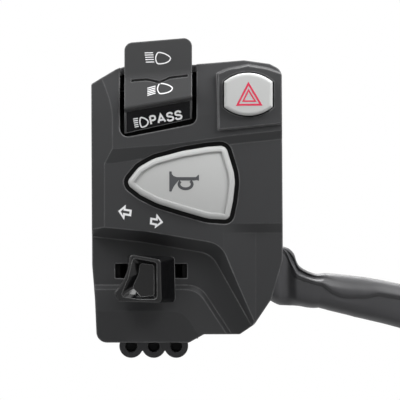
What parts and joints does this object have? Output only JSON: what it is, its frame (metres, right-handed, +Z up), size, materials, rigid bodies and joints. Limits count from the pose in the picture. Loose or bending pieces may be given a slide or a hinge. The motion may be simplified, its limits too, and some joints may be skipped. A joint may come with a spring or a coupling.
{
  "type": "handlebar switch cluster",
  "caption": "Left-hand handlebar switch housing with dimmer and passing rocker, hazard button, horn button, turn signal knob and a booted harness.",
  "frame": {"origin": "centre of the handlebar bore, on the bar's axis", "axes": "+X along the bar towards the rider's right, +Y forwards away from the rider, +Z up"},
  "size_m": [0.1575, 0.0486, 0.3099],
  "materials": {
    "case_plastic": "fine-grained satin moulding",
    "knob_plastic": "glossy",
    "passing_plastic": "glossy, darker than the rocker",
    "grey_plastic": "satin light grey",
    "inner_plastic": "plain",
    "slider_plastic": "plain",
    "boot_rubber": "satin",
    "sheath_vinyl": "satin",
    "wire_insulation": "semi-gloss",
    "connector_plastic": "natural",
    "screw_steel": "zinc plated",
    "spring_steel": "drawn wire",
    "contact_brass": "plain",
    "strap_steel": "plain"
  },
  "bodies": {
    "housing": {"front_case": "case_plastic", "rear_case": "case_plastic", "case_screws": "screw_steel", "dimmer_base": "inner_plastic", "dimmer_pin": "screw_steel", "dimmer_terminals": "contact_brass", "dimmer_screws": "screw_steel", "hazard_housing": "inner_plastic", "hazard_spring": "spring_steel", "hazard_terminals": "contact_brass", "hazard_screws": "screw_steel", "horn_base": "inner_plastic", "horn_spring": "spring_steel", "horn_terminals": "contact_brass", "horn_screws": "screw_steel", "turn_frame": "inner_plastic", "turn_pin": "screw_steel", "turn_terminals": "contact_brass", "turn_screws": "screw_steel", "harness_core": "wire_insulation", "cable_strap": "strap_steel", "strap_screw": "screw_steel", "inner_leads": "wire_insulation", "cable_boot": "boot_rubber", "cable_sheath": "sheath_vinyl", "pigtail_leads": "wire_insulation", "connector_housing": "connector_plastic", "connector_terminals": "contact_brass", "lead_grommet": "boot_rubber"},
    "dimmer": {"dimmer_rocker": "case_plastic", "passing_plate": "passing_plastic", "dimmer_plunger": "contact_brass", "plunger_spring": "spring_steel", "dimmer_contact": "contact_brass"},
    "hazard": {"hazard_button": "grey_plastic", "hazard_slider": "slider_plastic", "hazard_contact": "contact_brass"},
    "horn": {"horn_button": "grey_plastic", "horn_carrier": "inner_plastic", "horn_contact": "contact_brass"},
    "turn_lever": {"turn_carrier": "slider_plastic", "detent_ball": "screw_steel", "detent_spring": "spring_steel", "turn_contact": "contact_brass", "cancel_spring": "spring_steel"},
    "turn_knob": {"turn_knob": "knob_plastic"}
  },
  "joints": [
    {"name": "dimmer_rock", "type": "hinge", "parent": "housing", "child": "dimmer", "pos_m": [-0.00865, -0.02035, 0.015], "axis": [1, 0, 0], "range_deg": [-8, 7]},
    {"name": "hazard_press", "type": "slide", "parent": "housing", "child": "hazard", "axis": [0, 1, 0], "range_m": [0, 0.0024], "stiffness_N_per_m": 800, "deforming": ["hazard_spring"]},
    {"name": "horn_press", "type": "slide", "parent": "housing", "child": "horn", "axis": [0, 1, 0], "range_m": [0, 0.0022], "stiffness_N_per_m": 900, "deforming": ["horn_spring"]},
    {"name": "turn_swing", "type": "hinge", "parent": "housing", "child": "turn_lever", "pos_m": [-0.0108, -0.002, -0.03935], "axis": [0, 0, 1], "range_deg": [-8, 8]},
    {"name": "turn_cancel", "type": "slide", "parent": "turn_lever", "child": "turn_knob", "axis": [0, 1, 0], "range_m": [0, 0.0012], "stiffness_N_per_m": 700, "deforming": ["cancel_spring"]}
  ]
}
